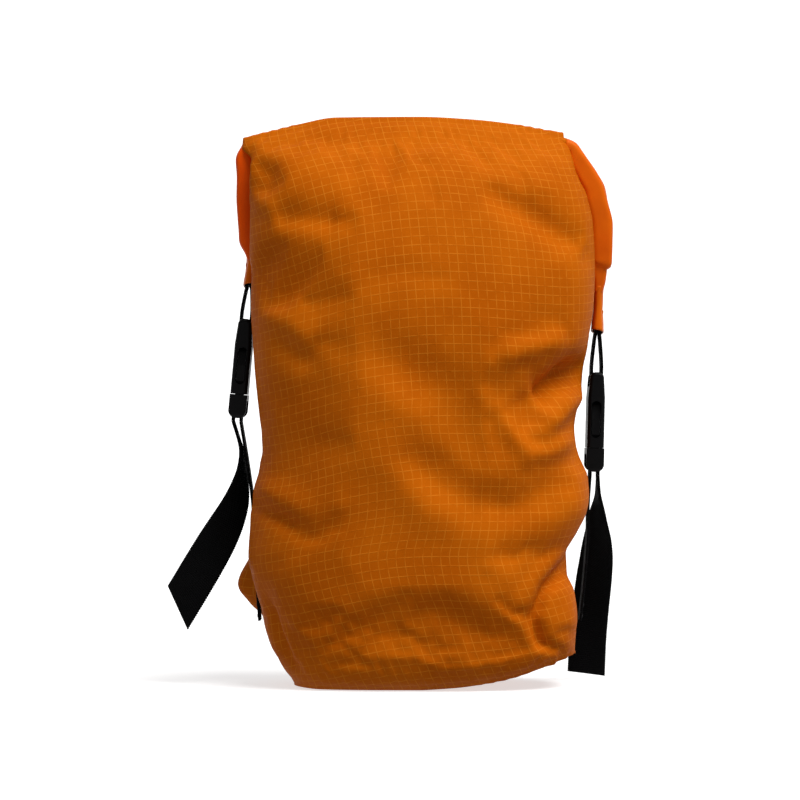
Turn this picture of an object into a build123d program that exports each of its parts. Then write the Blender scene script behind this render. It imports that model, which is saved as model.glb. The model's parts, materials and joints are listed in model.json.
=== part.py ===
from build123d import *
from math import cos, radians, sin
import os

# Roll-top dry bag of coated ripstop, standing upright and full, in millimetres.
# +Z is up, -Y is the front, and the origin is the centre of the flat underside.
# The neck is rolled up with two stiffener strips, and both ends of the roll are
# bent down the sides, where a side-release buckle holds each to a webbing strap.

# ---- Fabric shell ----
WALL = 0.9                  # coated fabric with its seam allowances, as one wall
SHELL_SECTIONS = [          # height, half width, half depth, corner radius, shift in Y
    (0.0, 88.0, 54.0, 26.0, 0.0),
    (15.0, 96.0, 65.0, 30.0, 0.0),
    (60.0, 98.5, 70.0, 36.0, 0.0),
    (110.0, 101.5, 72.0, 38.0, 0.0),
    (160.0, 97.0, 72.0, 38.0, 0.0),
    (230.0, 100.0, 70.0, 36.0, 0.0),
    (285.0, 99.5, 56.0, 30.0, 3.0),
    (322.0, 95.0, 31.0, 18.0, 8.0),
    (350.0, 90.0, 9.0, 7.0, 12.0),
]
SEAM_SHIFT_START = 285.0    # the side seams are at Y = 0 up to here,
SEAM_SHIFT_END = 338.0      # and reach the middle of the roll here
SEAM_GAP = 0.05             # each panel stops this far from the seam plane
REACH = 400.0               # a length that is beyond the whole bag
TOUCH = 0.01                # two lengths closer than this are the same

# ---- Seam tapes, welded on the inside ----
TAPE = 0.3
TAPE_WIDTH = 20.0
TAPE_TOP = 298.0
CORNER_TAPE_Z = 44.0        # height of the seam across each boxed bottom corner
CORNER_TAPE_LENGTH = 84.0
BOTTOM_TAPE_INSET = 8.0     # from each end of the flat underside
SIDE_X = 90.0               # middle and size in X of the boxes that cut the side tapes out
SIDE_REACH = 60.0

# ---- Rolled closure ----
ROLL_Y = 12.0               # middle plane of the roll, the buckles and the side straps
ROLL_WIDTH = 36.0           # along Y
ROLL_THICKNESS = 11.0
ROLL_EDGE_RADIUS = 5.0
ROLL_CLEARANCE = 0.6        # free space between the roll and the shell under it
ROLL_ROUTE = [              # middle line in X and Z, from the left end to the right end
    (-106.0, 266.0), (-108.5, 300.0), (-108.5, 331.0), (-58.0, 347.3), (30.0, 347.3),
    (90.0, 340.0), (114.0, 306.0), (114.0, 266.0), (110.8, 246.0),
]
ROLL_RADII = [150.0, 14.0, 60.0, 120.0, 26.0, 22.0, 30.0]
CORE_WIDTH = 28.0
CORE_THICKNESS = 3.8
STIFFENER_WIDTH = 25.0
STIFFENER_THICKNESS = 0.8
STIFFENER_OFFSET = 1.35     # from the middle of the core to the middle of each strip
HEM_WIDTH = 27.0
HEM_THICKNESS = 1.6

# ---- Webbing ----
WEBBING_WIDTH = 25.0
WEBBING = 1.5

# ---- Side-release buckle, in its own frame: U outward, V along Y, W up from the mouth ----
BUCKLE_WIDTH = 34.0
BUCKLE_THICKNESS = 10.5
FEMALE_LENGTH = 47.0
FEMALE_SHOULDER = 31.0      # above this height the socket thins down to its dome
END_BAR_RADIUS = 2.1
RAIL_TOP_HALF_THICKNESS = 4.1
RAIL_TOP_RADIUS = 3.6       # the socket's top is a dome, seen along Y
SOCKET_EDGE_RADIUS = 2.2
SOCKET_WIDTH = 28.6
SOCKET_THICKNESS = 6.6
SOCKET_DEPTH = 35.0
WINDOW_LOW = 6.2
WINDOW_HIGH = 29.0
WINDOW_THICKNESS = 6.0
WINDOW_RADIUS = 2.9
SLOT_WIDTH = 26.6
SLOT_LOW = 38.0
END_BAR_W = 44.3
BAR_OVERLAP = 1.0           # how far each bar runs into the rails at its ends
MALE_BASE = 4.0
MALE_LENGTH = 15.0
RAIL_INNER = 14.0
MALE_THICKNESS = 11.0
MALE_END_RADIUS = 4.8
MALE_CORNER_RADIUS = 2.5
MOUTH_GAP = 0.3             # between the socket's mouth and the plug's flange
LADDER_BAR_W = -11.5
LADDER_BAR_RADIUS = 1.6
TONGUE_LENGTH = 22.0
TONGUE_WIDTH = 5.2
TONGUE_THICKNESS = 5.4
PRONG_THICKNESS = 5.2
PRONG_OUTLINE = [           # V and W of the front and rear locking arms
    (7.0, 0.6), (10.8, 0.6), (11.4, 7.9), (15.9, 8.1), (15.9, 18.0),
    (14.0, 26.5), (11.8, 31.5), (9.2, 31.5), (8.3, 20.0),
]

# ---- Webbing laid round the two bars ----
LOOP_HALF_GAP = 3.0         # middle of each strand of the tab loop from the end bar's middle
LOOP_TURN_W = 41.3
LOOP_FLARE_W = 52.0
LOOP_BEND = 6.0
TURN_CLEARANCE = 0.1        # each turn's radius is this much under half its strands' spacing
LOOP_TOP_HALF_GAP = 0.8     # the strands lie together where they enter the sleeve
LOOP_TUCK = 9.0             # how far the strands go up inside the sleeve
LOOP_LEAD = 1.0             # straight run below the sleeve before the strands part
WRAP_HALF_GAP = 1.7
WRAP_END_W = -17.0
TAIL_GAP = 1.0              # between the wrap's cut end and the tail's
STRAP_JOINT_GAP = 0.4
STRAP_BEND = 60.0

# ---- Tab sleeves that join the ends of the roll to the webbing loops ----
SLEEVE_WIDTH = 28.5
SLEEVE_THICKNESS = 5.6
SLEEVE_RADIUS = 2.5
SLEEVE_SLOT_WIDTH = 25.4
SLEEVE_SLOT_THICKNESS = 3.4

# ---- Stitch bars ----
BARTACK_LENGTH = 21.0
BARTACK_HEIGHT = 2.4
BARTACK_THICKNESS = 0.5
BARTACK_RADIUS = 1.1
BARTACK_PITCH = 7.0
BARTACK_MARGIN = 2.0        # from the sewn end to the first bar

# ---- What differs between the two sides; X is outward on both ----
SIDES = {
    "left": {
        "sign": -1,
        "mouth": (112.6, 181.0),        # middle of the socket's mouth, outward X and Z
        "lean": 5.2,                    # degrees that the buckle's top leans inward
        "sleeve": (69.5, 84.4),         # lower and upper end of the sleeve, in W
        "strap": [(106.6, 138.0), (104.2, 112.0), (101.3, 60.0), (99.9, 40.0)],
        "strap_split": 1,               # the strap is cut at this corner, counted from the top
        "tail": [                       # outward X, Y, Z and turn of the width, in degrees
            (116.7, 12.0, 163.2, 0.0), (113.4, 12.0, 154.5, 0.0), (111.2, 12.0, 146.0, 0.0),
            (110.9, 11.8, 136.0, 6.0), (112.0, 11.4, 125.0, 20.0), (115.0, 10.8, 113.0, 40.0),
            (120.8, 9.8, 100.0, 58.0), (129.5, 8.4, 84.0, 74.0), (140.0, 7.0, 66.0, 84.0),
            (151.0, 6.0, 49.0, 88.0),
        ],
    },
    "right": {
        "sign": 1,
        "mouth": (109.0, 147.6),
        "lean": -1.4,
        "sleeve": (73.4, 97.6),
        "strap": [(105.6, 118.0), (104.6, 92.0), (101.8, 60.0), (99.9, 40.0)],
        "strap_split": 1,
        "tail": [
            (111.0, 12.0, 129.4, 0.0), (111.4, 12.0, 121.0, 2.0), (112.2, 14.5, 107.0, 16.0),
            (112.4, 23.5, 91.0, 34.0), (111.0, 36.0, 73.0, 49.0), (109.0, 47.0, 53.0, 60.0),
            (107.0, 54.0, 28.0, 66.0), (106.0, 58.0, 3.6, 68.0),
        ],
    },
}


# ---- Frames ----

def buckle_axes(side):
    """Outward and upward directions of one side's buckle, with the mouth's middle."""
    sign, lean = side["sign"], radians(side["lean"])
    outward = Vector(sign * cos(lean), 0, sin(lean))
    upward = Vector(-sign * sin(lean), 0, cos(lean))
    mouth_x, mouth_z = side["mouth"]
    return outward, upward, Vector(sign * mouth_x, ROLL_Y, mouth_z)


def edge_plane(side):
    """Sketch plane seen along Y: its X is outward and its Y is up the buckle."""
    outward, upward, mouth = buckle_axes(side)
    return Plane(origin=mouth, x_dir=outward, z_dir=outward.cross(upward))


def face_plane(side, offset=0.0):
    """Sketch plane seen from outside: its X is row +Y and its Y is up the buckle."""
    outward, upward, mouth = buckle_axes(side)
    across = Vector(0, 1, 0)
    return Plane(origin=mouth + outward * offset, x_dir=across, z_dir=across.cross(upward))


def in_row(side, u, w):
    """Row X and Z of a point given in one buckle's frame."""
    outward, upward, mouth = buckle_axes(side)
    point = mouth + outward * u + upward * w
    return point.X, point.Z


def block(plane, x_range, y_range, depth, radius=0.0):
    """Rectangle on a plane, given by its two ranges, grown to both sides of the plane."""
    width, height = x_range[1] - x_range[0], y_range[1] - y_range[0]
    outline = RectangleRounded(width, height, radius) if radius else Rectangle(width, height)
    middle = Pos((x_range[0] + x_range[1]) / 2, (y_range[0] + y_range[1]) / 2)
    return extrude(plane * middle * outline, depth / 2, both=True)


def polygon(plane, points, depth):
    """Closed polygon on a plane, grown to both sides of the plane."""
    return extrude(plane * make_face(Polyline(*points, close=True)), depth / 2, both=True)


def band(plane, points, radii, thickness, width):
    """Strip of webbing on edge: straight runs joined by arcs, grown along the width."""
    path = FilletPolyline(*points, radius=radii)
    return extrude(plane * trace(path, thickness), width / 2, both=True)


# ---- Fabric shell ----

def shell_body(inset):
    """Loft of the shell, drawn in from its sides and its bottom by an amount."""
    sections = []
    for height, half_width, half_depth, radius, shift in SHELL_SECTIONS:
        outline = RectangleRounded(
            2 * (half_width - inset), 2 * (half_depth - inset), radius - inset
        )
        sections.append(Pos(0, shift, max(height, inset)) * outline)
    return loft(sections)


def front_region():
    """Everything in front of the seam line, which moves back to the roll near the top."""
    outline = [
        (-REACH, -REACH), (0, -REACH), (0, SEAM_SHIFT_START),
        (ROLL_Y, SEAM_SHIFT_END), (ROLL_Y, REACH), (-REACH, REACH),
    ]
    return polygon(Plane.YZ, outline, 2 * REACH)


def roll_path():
    return Plane.XZ.offset(-ROLL_Y) * FilletPolyline(*ROLL_ROUTE, radius=ROLL_RADII)


def along_roll(width, thickness, offset=0.0, radius=0.0):
    """Strip that follows the roll's middle line, moved out from it by the offset."""
    path = roll_path()
    start, tangent = path @ 0, path % 0
    plane = Plane(origin=start, x_dir=(0, 1, 0), z_dir=tangent)
    outline = RectangleRounded(width, thickness, radius) if radius else Rectangle(width, thickness)
    return sweep(plane * Pos(0, offset) * outline, path=path)


def panels():
    """Front and back panels: one shell, open at the neck, cut along its seams."""
    shell = shell_body(0) - shell_body(WALL)
    clearance = ROLL_THICKNESS + 2 * ROLL_CLEARANCE
    band_space = band(Plane.XZ.offset(-ROLL_Y), ROLL_ROUTE, ROLL_RADII, clearance, REACH)
    shell = (shell - band_space).solids().sort_by(SortBy.VOLUME)[-1]
    front = front_region()
    return (shell & (Pos(0, -SEAM_GAP, 0) * front)), (shell - (Pos(0, SEAM_GAP, 0) * front))


def inner_layer(inset):
    """Thin layer just inside the shell's wall, at the given depth from the outer face."""
    return shell_body(inset) - shell_body(inset + TAPE)


def side_tape(sign):
    """Tape over one side seam, on the inner face of the wall."""
    low = WALL + 2 * TAPE
    middle = Pos(sign * SIDE_X, 0, (TAPE_TOP + low) / 2)
    cutter = middle * Box(SIDE_REACH, TAPE_WIDTH, TAPE_TOP - low)
    return inner_layer(WALL) & cutter


def bottom_tape():
    """Tape over the seam along the middle of the bottom."""
    length = 2 * (SHELL_SECTIONS[0][1] - BOTTOM_TAPE_INSET)
    return Pos(0, 0, WALL + TAPE / 2) * Box(length, TAPE_WIDTH, TAPE)


def corner_tape(sign):
    """Tape over the seam across one boxed corner, on top of the side tape."""
    middle = Pos(sign * SIDE_X, 0, CORNER_TAPE_Z)
    cutter = middle * Box(SIDE_REACH, CORNER_TAPE_LENGTH, TAPE_WIDTH)
    return inner_layer(WALL + TAPE) & cutter


# ---- Rolled closure ----

def rolled_top():
    """Rolled neck, flattened, with the core that holds the strips and the hem."""
    roll = along_roll(ROLL_WIDTH, ROLL_THICKNESS, radius=ROLL_EDGE_RADIUS)
    return roll - along_roll(CORE_WIDTH, CORE_THICKNESS)


def tab_sleeve(side):
    """Folded fabric sleeve from the end of the roll down to the webbing loop."""
    low, high = side["sleeve"]
    plane = face_plane(side)
    half = SLEEVE_WIDTH / 2
    outer = block(plane, (-half, half), (low, high), SLEEVE_THICKNESS, SLEEVE_RADIUS)
    slot_half = SLEEVE_SLOT_WIDTH / 2
    return outer - block(plane, (-slot_half, slot_half), (low, high), SLEEVE_SLOT_THICKNESS)


def tab_loop(side):
    """Webbing loop, both strands, sewn in the sleeve and laid round the end bar."""
    sleeve_low = side["sleeve"][0]
    top = sleeve_low + LOOP_TUCK
    half = [
        (LOOP_TOP_HALF_GAP, top), (LOOP_TOP_HALF_GAP, sleeve_low - LOOP_LEAD),
        (LOOP_HALF_GAP, LOOP_FLARE_W), (LOOP_HALF_GAP, LOOP_TURN_W),
    ]
    mirrored = [(-u, w) for u, w in reversed(half)]
    turn = LOOP_HALF_GAP - TURN_CLEARANCE
    radii = [LOOP_BEND, LOOP_BEND, turn, turn, LOOP_BEND, LOOP_BEND]
    return band(edge_plane(side), half + mirrored, radii, WEBBING, WEBBING_WIDTH)


# ---- Buckle ----

def domed(plane, points, rounded_y, radius, depth):
    """Polygon on a plane with the corners at one height rounded, grown to both sides of it."""
    outline = make_face(Polyline(*points, close=True))
    ends = [corner for corner in outline.vertices() if abs(corner.Y - rounded_y) < TOUCH]
    return extrude(plane * fillet(ends, radius), depth / 2, both=True)


def socket(side):
    """Female half: socket, side windows, and the end bar that the loop goes round."""
    half, shoulder, top = BUCKLE_THICKNESS / 2, FEMALE_SHOULDER, FEMALE_LENGTH
    thin = RAIL_TOP_HALF_THICKNESS
    plane, edge_on = face_plane(side), edge_plane(side)
    profile = [
        (-half, 0), (half, 0), (half, shoulder), (thin, top), (-thin, top), (-half, shoulder),
    ]
    body = domed(edge_on, profile, top, RAIL_TOP_RADIUS, BUCKLE_WIDTH)
    _, upward, mouth = buckle_axes(side)
    side_face = BUCKLE_WIDTH / 2 - TOUCH
    rims = [
        edge for edge in body.edges()
        if abs(edge.center().Y - ROLL_Y) > side_face and (edge.center() - mouth).dot(upward) > TOUCH
    ]
    body = fillet(rims, SOCKET_EDGE_RADIUS)
    body -= block(plane, (-SOCKET_WIDTH / 2, SOCKET_WIDTH / 2), (-1, SOCKET_DEPTH), SOCKET_THICKNESS)
    window = (-WINDOW_THICKNESS / 2, WINDOW_THICKNESS / 2)
    body -= block(edge_on, window, (WINDOW_LOW, WINDOW_HIGH), 2 * BUCKLE_WIDTH, WINDOW_RADIUS)
    slot_half = SLOT_WIDTH / 2
    body -= block(plane, (-slot_half, slot_half), (SLOT_LOW, top + 1), 2 * BUCKLE_THICKNESS)
    bar_profile = Pos(0, END_BAR_W) * Circle(END_BAR_RADIUS)
    return body + extrude(edge_on * bar_profile, slot_half + BAR_OVERLAP, both=True)


def plug(side):
    """Male half without its arms: flange, guide tongue, side rails and ladder bar."""
    wide, half = BUCKLE_WIDTH / 2, MALE_THICKNESS / 2
    face, edge = face_plane(side), edge_plane(side)
    profile = [(-half, -MALE_LENGTH), (half, -MALE_LENGTH), (half, -MOUTH_GAP), (-half, -MOUTH_GAP)]
    body = domed(edge, profile, -MALE_LENGTH, MALE_END_RADIUS, BUCKLE_WIDTH)
    corners = (-MALE_LENGTH, MALE_CORNER_RADIUS)
    body = body & block(face, (-wide, wide), corners, 2 * MALE_THICKNESS, MALE_CORNER_RADIUS)
    body -= block(face, (-RAIL_INNER, RAIL_INNER), (-2 * MALE_LENGTH, -MALE_BASE), 2 * MALE_THICKNESS)
    tongue_half = TONGUE_WIDTH / 2
    tongue = block(face, (-tongue_half, tongue_half), (-1, TONGUE_LENGTH), TONGUE_THICKNESS)
    bar_profile = Pos(0, LADDER_BAR_W) * Circle(LADDER_BAR_RADIUS)
    bar = extrude(edge * bar_profile, RAIL_INNER + BAR_OVERLAP, both=True)
    return body + tongue + bar


def prong(side, direction):
    """One locking arm, with its shoulder caught on the edge of the side window."""
    points = [(direction * v, w) for v, w in PRONG_OUTLINE]
    return polygon(face_plane(side), points, PRONG_THICKNESS)


# ---- Straps ----

def strap_wrap(side):
    """Webbing laid round the ladder bar: load strand inside, free strand outside."""
    middle = WRAP_HALF_GAP + WEBBING / 2
    top = LADDER_BAR_W + middle
    points = [(-middle, WRAP_END_W), (-middle, top), (middle, top), (middle, WRAP_END_W)]
    turn = middle - TURN_CLEARANCE
    return band(edge_plane(side), points, [turn, turn], WEBBING, WEBBING_WIDTH)


def strap_pieces(side):
    """Side strap as upper and lower stretch, cut where the two parts of the load path meet."""
    sign = side["sign"]
    start_u = -(WRAP_HALF_GAP + WEBBING / 2)
    start = in_row(side, start_u, WRAP_END_W - STRAP_JOINT_GAP)
    points = [start] + [(sign * x, z) for x, z in side["strap"]]
    path = FilletPolyline(*points, radius=[STRAP_BEND] * (len(points) - 2))
    whole = extrude(Plane.XZ.offset(-ROLL_Y) * trace(path, WEBBING), WEBBING_WIDTH / 2, both=True)
    cut_z = side["strap"][side["strap_split"]][1]
    half_gap = STRAP_JOINT_GAP / 2
    above = Pos(0, 0, cut_z + half_gap + REACH / 2) * Box(REACH, REACH, REACH)
    below = Pos(0, 0, cut_z - half_gap - REACH / 2) * Box(REACH, REACH, REACH)
    return whole & above, whole & below


def tail(side):
    """Loose end of the strap, which turns from edge-on to face-on as it hangs."""
    sign = side["sign"]
    middles = [Vector(sign * x, y, z) for x, y, z, _ in side["tail"]]
    sections = []
    last = len(middles) - 1
    for index, (x, y, z, turn) in enumerate(side["tail"]):
        run = (middles[min(index + 1, last)] - middles[max(index - 1, 0)]).normalized()
        across = Vector(sign * sin(radians(turn)), -cos(radians(turn)), 0)
        across = (across - run * across.dot(run)).normalized()
        plane = Plane(origin=middles[index], x_dir=across, z_dir=run)
        sections.append(plane * Rectangle(WEBBING_WIDTH, WEBBING))
    return loft(sections, ruled=True)


def stitch_bars(plane, height):
    """Pair of dense stitch bars on one face of the webbing or sleeve."""
    bars = Part()
    for step in (0, 1):
        low = height + step * BARTACK_PITCH
        bars += block(
            plane, (-BARTACK_LENGTH / 2, BARTACK_LENGTH / 2), (low, low + BARTACK_HEIGHT),
            BARTACK_THICKNESS, BARTACK_RADIUS,
        )
    return bars


def sleeve_stitches(side):
    """Bar tacks through the sleeve and the webbing in it, on the sleeve's outer face."""
    offset = SLEEVE_THICKNESS / 2 + BARTACK_THICKNESS / 2
    return stitch_bars(face_plane(side, offset), side["sleeve"][0] + BARTACK_MARGIN)


def anchor_stitches(side):
    """Bar tacks at the strap's sewn lower end, on its outer face."""
    sign = side["sign"]
    upper, lower = side["strap"][-2], side["strap"][-1]
    low = Vector(sign * lower[0], ROLL_Y, lower[1])
    rise = (Vector(sign * upper[0], ROLL_Y, upper[1]) - low).normalized()
    across = Vector(0, 1, 0)
    normal = across.cross(rise)
    offset = (WEBBING + BARTACK_THICKNESS) / 2
    origin = low + normal * (sign * offset)
    return stitch_bars(Plane(origin=origin, x_dir=across, z_dir=normal), BARTACK_MARGIN)


# ---- All the nodes ----

def build():
    nodes = {}
    nodes["front_panel"], nodes["back_panel"] = panels()
    nodes["bottom_seam_tape"] = bottom_tape()
    nodes["rolled_top"] = rolled_top()
    nodes["mouth_hem"] = along_roll(HEM_WIDTH, HEM_THICKNESS)
    nodes["inner_stiffener"] = along_roll(
        STIFFENER_WIDTH, STIFFENER_THICKNESS, -STIFFENER_OFFSET
    )
    nodes["outer_stiffener"] = along_roll(
        STIFFENER_WIDTH, STIFFENER_THICKNESS, STIFFENER_OFFSET
    )
    for name, side in SIDES.items():
        nodes[name + "_seam_tape"] = side_tape(side["sign"])
        nodes[name + "_corner_tape"] = corner_tape(side["sign"])
        nodes[name + "_tab_sleeve"] = tab_sleeve(side)
        nodes[name + "_sleeve_stitches"] = sleeve_stitches(side)
        nodes[name + "_tab_loop"] = tab_loop(side)
        nodes[name + "_buckle_socket"] = socket(side)
        nodes[name + "_buckle_plug"] = plug(side)
        nodes[name + "_front_prong"] = prong(side, -1)
        nodes[name + "_rear_prong"] = prong(side, 1)
        nodes[name + "_strap_wrap"] = strap_wrap(side)
        nodes[name + "_upper_strap"], nodes[name + "_lower_strap"] = strap_pieces(side)
        nodes[name + "_strap_tail"] = tail(side)
        nodes[name + "_anchor_stitches"] = anchor_stitches(side)
    return nodes


os.makedirs("parts", exist_ok=True)
for node, shape in build().items():
    export_step(shape, "parts/" + node + ".step")
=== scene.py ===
import json
import math

import bmesh
import bpy
import numpy as np
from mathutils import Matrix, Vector, noise


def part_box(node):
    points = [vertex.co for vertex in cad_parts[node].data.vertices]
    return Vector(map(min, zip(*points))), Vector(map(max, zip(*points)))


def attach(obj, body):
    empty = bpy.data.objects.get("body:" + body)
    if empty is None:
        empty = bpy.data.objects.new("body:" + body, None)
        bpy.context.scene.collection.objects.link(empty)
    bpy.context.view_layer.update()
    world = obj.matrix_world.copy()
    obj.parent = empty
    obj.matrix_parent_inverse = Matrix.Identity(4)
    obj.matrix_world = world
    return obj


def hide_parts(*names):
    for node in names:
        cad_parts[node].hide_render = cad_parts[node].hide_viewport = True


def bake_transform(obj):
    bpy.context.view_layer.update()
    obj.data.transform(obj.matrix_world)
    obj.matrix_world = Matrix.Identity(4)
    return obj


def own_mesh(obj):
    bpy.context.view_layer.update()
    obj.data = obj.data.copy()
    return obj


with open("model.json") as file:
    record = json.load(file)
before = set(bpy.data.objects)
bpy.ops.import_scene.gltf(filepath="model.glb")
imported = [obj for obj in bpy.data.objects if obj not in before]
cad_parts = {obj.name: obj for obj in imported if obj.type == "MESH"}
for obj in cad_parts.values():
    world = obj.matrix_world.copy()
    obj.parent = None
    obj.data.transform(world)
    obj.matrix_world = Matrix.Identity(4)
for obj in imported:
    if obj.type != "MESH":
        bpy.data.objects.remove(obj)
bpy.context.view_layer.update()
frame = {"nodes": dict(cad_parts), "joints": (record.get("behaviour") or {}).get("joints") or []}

# Roll-top dry bag, in metres, in the row frame: +Z up, -Y the front.
MM = 0.001
JOINTS = {joint["name"]: joint for joint in frame["joints"]}


def node_box(name):
    low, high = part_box(name)
    return Vector(low), Vector(high)


def inner_x(box):
    """Distance from the middle of the bag to a side piece's near face, in metres."""
    return min(abs(box[0].x), abs(box[1].x))


def outer_x(box):
    """Distance from the middle of the bag to a side piece's far face, in metres."""
    return max(abs(box[0].x), abs(box[1].x))


# ---------- small maths

def run_along(points):
    """Distance run at each point of a line, 0 at the first."""
    return np.concatenate([[0], np.cumsum(np.linalg.norm(np.diff(points, axis=0), axis=1))])


def smooth(points):
    """Smooth curve through a few (position, value) points, flat beyond its ends."""
    xs = np.array([p[0] for p in points], float)
    ys = np.array([p[1] for p in points], float)
    steps = np.diff(xs)
    slopes = np.diff(ys) / steps
    tangents = np.zeros(len(xs))
    same = slopes[:-1] * slopes[1:] > 0
    weight_a, weight_b = 2 * steps[1:] + steps[:-1], steps[1:] + 2 * steps[:-1]
    with np.errstate(divide="ignore", invalid="ignore"):
        mean = (weight_a + weight_b) / (weight_a / slopes[:-1] + weight_b / slopes[1:])
    tangents[1:-1] = np.where(same, mean, 0.0)

    def value(x):
        x = np.clip(np.asarray(x, float), xs[0], xs[-1])
        k = np.clip(np.searchsorted(xs, x, side="right") - 1, 0, len(steps) - 1)
        t = (x - xs[k]) / steps[k]
        t2, t3 = t * t, t * t * t
        return (
            (2 * t3 - 3 * t2 + 1) * ys[k] + (t3 - 2 * t2 + t) * steps[k] * tangents[k]
            + (3 * t2 - 2 * t3) * ys[k + 1] + (t3 - t2) * steps[k] * tangents[k + 1]
        )

    return value


def step(x, low, high):
    """Smooth step from 0 at low to 1 at high; low may be the larger one."""
    t = np.clip((np.asarray(x, float) - low) / (high - low), 0, 1)
    return t * t * (3 - 2 * t)


def near_line(px, pz, points):
    """Distance of each point to a polyline, and how far along it is from 0 to 1."""
    points = np.array(points, float)
    lengths = np.hypot(*np.diff(points, axis=0).T)
    total, run = lengths.sum(), 0.0
    best = np.full(px.shape, 1e9)
    along = np.zeros(px.shape)
    for (ax, az), (bx, bz), length in zip(points[:-1], points[1:], lengths):
        dx, dz = (bx - ax) / length, (bz - az) / length
        t = np.clip((px - ax) * dx + (pz - az) * dz, 0, length)
        qx, qz = px - ax - t * dx, pz - az - t * dz
        distance = np.hypot(qx, qz)
        closer = distance < best
        best = np.where(closer, distance, best)
        along = np.where(closer, (run + t) / total, along)
        run += length
    return best, along


# ---------- materials

def material(name):
    mat = bpy.data.materials.new(name)
    mat.use_nodes = True
    tree = mat.node_tree
    tree.nodes.clear()
    output = tree.nodes.new("ShaderNodeOutputMaterial")
    shader = tree.nodes.new("ShaderNodeBsdfPrincipled")
    tree.links.new(shader.outputs["BSDF"], output.inputs["Surface"])
    return mat, tree, shader


def add(tree, kind, **settings):
    """New node; keys that name an input set its default, the others set a property."""
    node = tree.nodes.new(kind)
    for key, value in settings.items():
        if hasattr(node, key):
            setattr(node, key, value)
        else:
            node.inputs[key.replace("_", " ")].default_value = value
    return node


def math_node(tree, operation, a, b=None):
    node = add(tree, "ShaderNodeMath", operation=operation)
    for socket, value in zip(node.inputs, (a, b)):
        if value is None:
            continue
        if isinstance(value, (int, float)):
            socket.default_value = value
        else:
            tree.links.new(value, socket)
    return node.outputs[0]


def times(tree, a, b):
    return math_node(tree, "MULTIPLY", a, b)


def plus(tree, a, b):
    return math_node(tree, "ADD", a, b)


def mix_colour(tree, factor, a, b):
    node = add(tree, "ShaderNodeMix", data_type="RGBA")
    for socket, value in ((node.inputs[0], factor), (node.inputs[6], a), (node.inputs[7], b)):
        if isinstance(value, bpy.types.NodeSocket):
            tree.links.new(value, socket)
        else:
            socket.default_value = value if not isinstance(value, tuple) else (*value[:3], 1.0)
    return node.outputs[2]


def noise_node(tree, vector, scale, detail=3.0, roughness=0.55):
    node = add(tree, "ShaderNodeTexNoise", Scale=scale, Detail=detail, Roughness=roughness)
    tree.links.new(vector, node.inputs["Vector"])
    return node.outputs["Fac"]


def ramp(tree, value, low, high):
    node = add(tree, "ShaderNodeMapRange", interpolation_type="SMOOTHSTEP")
    tree.links.new(value, node.inputs["Value"])
    node.inputs["From Min"].default_value = low
    node.inputs["From Max"].default_value = high
    return node.outputs["Result"]


def bump(tree, shader, height, distance, strength, normal=None):
    node = add(tree, "ShaderNodeBump", Distance=distance, Strength=strength)
    tree.links.new(height, node.inputs["Height"])
    if normal is not None:
        tree.links.new(normal, node.inputs["Normal"])
    tree.links.new(node.outputs["Normal"], shader.inputs["Normal"])


GRID = 5.3 * MM             # pitch of the ripstop grid
GRID_LINE = 0.022           # half of a line's width, as a share of the pitch
LINE_SOFTNESS = 0.06        # how far a line fades out, as a share of the pitch
YARN = 0.53 * MM            # pitch of the fine weave
RIB_PITCH = 1.25 * MM       # pitch of the webbing's cross ribs


def grid_lines(tree, coordinate):
    """1 on the ripstop lines of one direction, 0 between them."""
    phase = math_node(tree, "FRACT", math_node(tree, "DIVIDE", coordinate, GRID))
    distance = math_node(tree, "ABSOLUTE", math_node(tree, "SUBTRACT", phase, 0.5))
    return ramp(tree, distance, GRID_LINE + LINE_SOFTNESS, GRID_LINE)


def ripstop_material(name, base, line, shade, gloss=0.5):
    """Coated ripstop: fine plain weave, and a grid of thicker yarns that stands out a little."""
    mat, tree, shader = material(name)
    uv = add(tree, "ShaderNodeUVMap", uv_map="weave").outputs["UV"]
    split = add(tree, "ShaderNodeSeparateXYZ")
    tree.links.new(uv, split.inputs[0])
    across, along = split.outputs["X"], split.outputs["Y"]
    objects = add(tree, "ShaderNodeTexCoord").outputs["Object"]
    warp = grid_lines(tree, across)
    weft = grid_lines(tree, along)
    lines = math_node(tree, "MAXIMUM", warp, weft)
    cloudy = noise_node(tree, objects, 22.0, 4.0)
    worn = ramp(tree, noise_node(tree, objects, 190.0, 3.0), 0.42, 0.66)
    base_mix = mix_colour(tree, ramp(tree, cloudy, 0.35, 0.65), base, shade)
    faded = times(tree, worn, 0.35)
    strength = math_node(tree, "SUBTRACT", 0.42, faded)
    line_mix = times(tree, lines, strength)
    tree.links.new(mix_colour(tree, line_mix, base_mix, line), shader.inputs["Base Color"])
    yarn_a = math_node(tree, "SINE", times(tree, across, 2 * math.pi / YARN))
    yarn_b = math_node(tree, "SINE", times(tree, along, 2 * math.pi / YARN))
    weave = times(tree, yarn_a, yarn_b)
    crumple = noise_node(tree, objects, 60.0, 5.0, 0.6)
    height = plus(tree, times(tree, weave, 0.12), lines)
    first = add(tree, "ShaderNodeBump", Distance=0.12 * MM, Strength=0.55)
    tree.links.new(height, first.inputs["Height"])
    bump(tree, shader, crumple, 1.4 * MM, 0.18, first.outputs["Normal"])
    rough = plus(tree, times(tree, cloudy, 0.16), gloss)
    tree.links.new(rough, shader.inputs["Roughness"])
    shader.inputs["Specular IOR Level"].default_value = 0.02
    shader.inputs["Specular Tint"].default_value = (1.0, 0.62, 0.25, 1.0)
    return mat


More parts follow.
